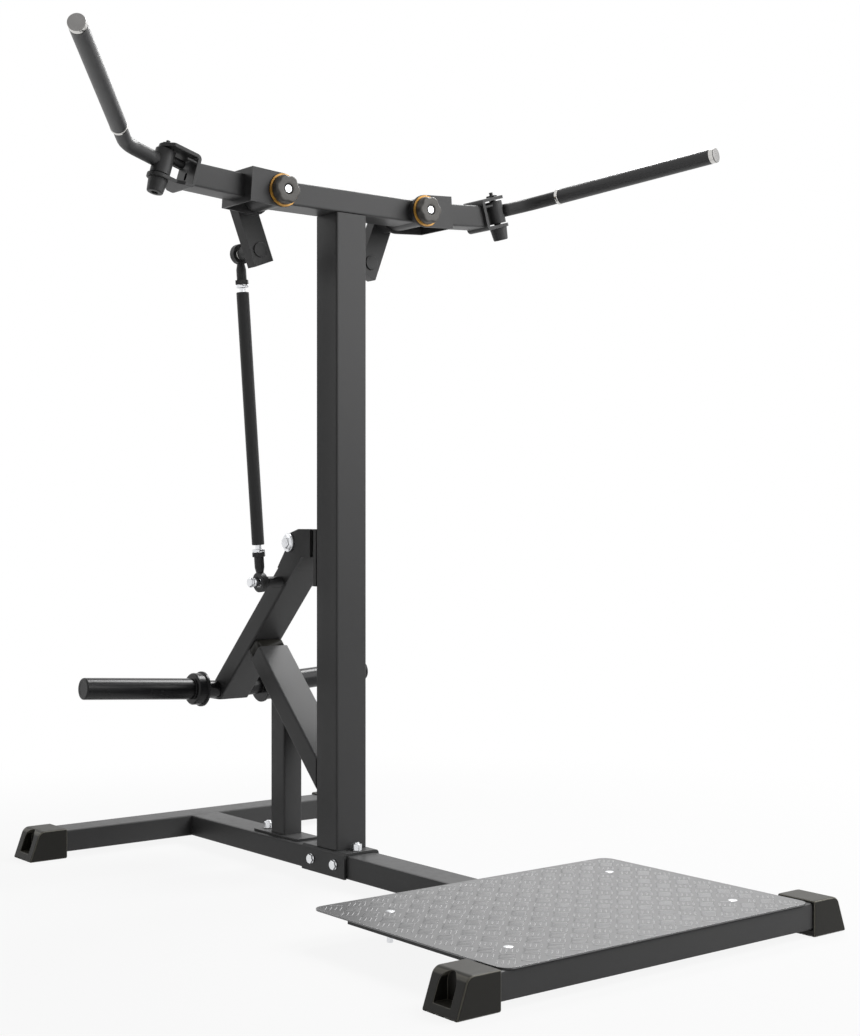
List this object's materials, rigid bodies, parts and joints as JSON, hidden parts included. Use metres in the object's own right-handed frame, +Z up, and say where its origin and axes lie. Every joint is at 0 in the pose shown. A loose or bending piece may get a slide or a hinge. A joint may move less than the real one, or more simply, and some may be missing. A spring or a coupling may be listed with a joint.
{
  "type": "standing chest fly machine",
  "caption": "Plate-loaded standing chest fly machine: T-base with tread platform, column, two pivoting arms with swivelling handles, pull rods and a weight lever with plate horns.",
  "frame": {"origin": "on the floor under the middle of the T-base: X midway between the left and right feet, Y midway between the front and rear cross tubes, Z at the soles, 14 mm under the middle of the base rail", "axes": "+Z up, +Y to the rear (from the platform towards the weight lever), +X to the machine's side at the picture's right"},
  "size_m": [1.514, 1.6516, 1.6581],
  "materials": {
    "frame_charcoal": "satin powder coat",
    "tread_plate": "grey, raised dashes",
    "rubber_black": "matte moulded",
    "zinc": "bright zinc plate",
    "horn_black": "gloss",
    "chrome": "polished",
    "grip_black": "satin",
    "washer_orange": "satin",
    "knob_dark": "satin"
  },
  "bodies": {
    "base": {"front_base_frame": "frame_charcoal", "rear_base_frame": "frame_charcoal", "front_shoe_left": "rubber_black", "front_shoe_right": "rubber_black", "rear_shoe_left": "rubber_black", "rear_shoe_right": "rubber_black", "tread_plate": "tread_plate", "platform_bolt_front_left": "zinc", "platform_bolt_front_right": "zinc", "platform_bolt_rear_left": "zinc", "platform_bolt_rear_right": "zinc", "column": "frame_charcoal", "column_saddle": "frame_charcoal", "saddle_bolt_front": "zinc", "saddle_bolt_rear": "zinc", "column_foot_bolt": "zinc", "crossbar": "frame_charcoal", "stop_brace": "frame_charcoal", "bumper_pad": "rubber_black", "brace_post": "frame_charcoal", "post_foot_bolt": "zinc", "lever_bracket": "frame_charcoal"},
    "weight_lever": {"weight_lever": "frame_charcoal", "lever_pivot_bolt": "zinc", "plate_horn_left": "horn_black", "plate_horn_right": "horn_black", "rod_stud_left": "zinc", "rod_stud_right": "zinc"},
    "arm_left": {"arm_left": "frame_charcoal", "drive_lever_left": "frame_charcoal", "pivot_axle_left": "zinc", "pivot_washer_left": "washer_orange", "knob_left": "knob_dark", "lever_pin_left": "frame_charcoal", "swivel_bracket_left": "frame_charcoal", "swivel_pin_left": "frame_charcoal"},
    "handle_left": {"handle_left": "frame_charcoal", "grip_ring_left": "chrome", "grip_left": "grip_black", "end_cap_left": "chrome"},
    "rod_ball_left": {"rod_ball_left": "chrome"},
    "rod_left": {"rod_end_upper_left": "frame_charcoal", "rod_tube_left": "frame_charcoal", "rod_end_lower_left": "frame_charcoal"},
    "arm_right": {"arm_right": "frame_charcoal", "drive_lever_right": "frame_charcoal", "pivot_axle_right": "zinc", "pivot_washer_right": "washer_orange", "knob_right": "knob_dark", "lever_pin_right": "frame_charcoal", "swivel_bracket_right": "frame_charcoal", "swivel_pin_right": "frame_charcoal"},
    "handle_right": {"handle_right": "frame_charcoal", "grip_ring_right": "chrome", "grip_right": "grip_black", "end_cap_right": "chrome"},
    "rod_ball_right": {"rod_ball_right": "chrome"},
    "rod_right": {"rod_end_upper_right": "frame_charcoal", "rod_tube_right": "frame_charcoal", "rod_end_lower_right": "frame_charcoal"}
  },
  "joints": [
    {"name": "weight_lever_pivot", "type": "hinge", "parent": "base", "child": "weight_lever", "pos_m": [0, 0.3087, 0.736], "axis": [1, 0, 0], "range_deg": [0, 55]},
    {"name": "arm_pivot_left", "type": "hinge", "parent": "base", "child": "arm_left", "pos_m": [-0.19, 0.1632, 1.479], "axis": [0, -1, 0], "range_deg": [0, 49.5]},
    {"name": "handle_swivel_left", "type": "hinge", "parent": "arm_left", "child": "handle_left", "pos_m": [-0.4446, 0.1632, 1.5127], "axis": [0.284, 0, 0.9588], "range_deg": [-31.3, 24.7]},
    {"name": "rod_ball_swivel_left", "type": "hinge", "parent": "arm_left", "child": "rod_ball_left", "pos_m": [-0.15094, 0.3378, 1.37724], "axis": [0, 1, 0], "range_deg": [0, 55]},
    {"name": "rod_tilt_left", "type": "hinge", "parent": "rod_ball_left", "child": "rod_left", "pos_m": [-0.15094, 0.3378, 1.37724], "axis": [1, 0, 0], "range_deg": [0, 4.95]},
    {"name": "arm_pivot_right", "type": "hinge", "parent": "base", "child": "arm_right", "pos_m": [0.19, 0.1632, 1.479], "axis": [0, 1, 0], "range_deg": [0, 49.5]},
    {"name": "handle_swivel_right", "type": "hinge", "parent": "arm_right", "child": "handle_right", "pos_m": [0.4446, 0.1632, 1.5127], "axis": [0.284, 0, -0.9588], "range_deg": [-53.5, 2.5]},
    {"name": "rod_ball_swivel_right", "type": "hinge", "parent": "arm_right", "child": "rod_ball_right", "pos_m": [0.15094, 0.3378, 1.37724], "axis": [0, -1, 0], "range_deg": [0, 55]},
    {"name": "rod_tilt_right", "type": "hinge", "parent": "rod_ball_right", "child": "rod_right", "pos_m": [0.15094, 0.3378, 1.37724], "axis": [1, 0, 0], "range_deg": [0, 4.95]}
  ],
  "couplings": [
    {"joint": "arm_pivot_left", "follows": "weight_lever_pivot", "ratio": 0.9},
    {"joint": "rod_ball_swivel_left", "follows": "weight_lever_pivot", "ratio": 1},
    {"joint": "rod_tilt_left", "follows": "weight_lever_pivot", "ratio": 0.09},
    {"joint": "arm_pivot_right", "follows": "weight_lever_pivot", "ratio": 0.9},
    {"joint": "rod_ball_swivel_right", "follows": "weight_lever_pivot", "ratio": 1},
    {"joint": "rod_tilt_right", "follows": "weight_lever_pivot", "ratio": 0.09}
  ]
}
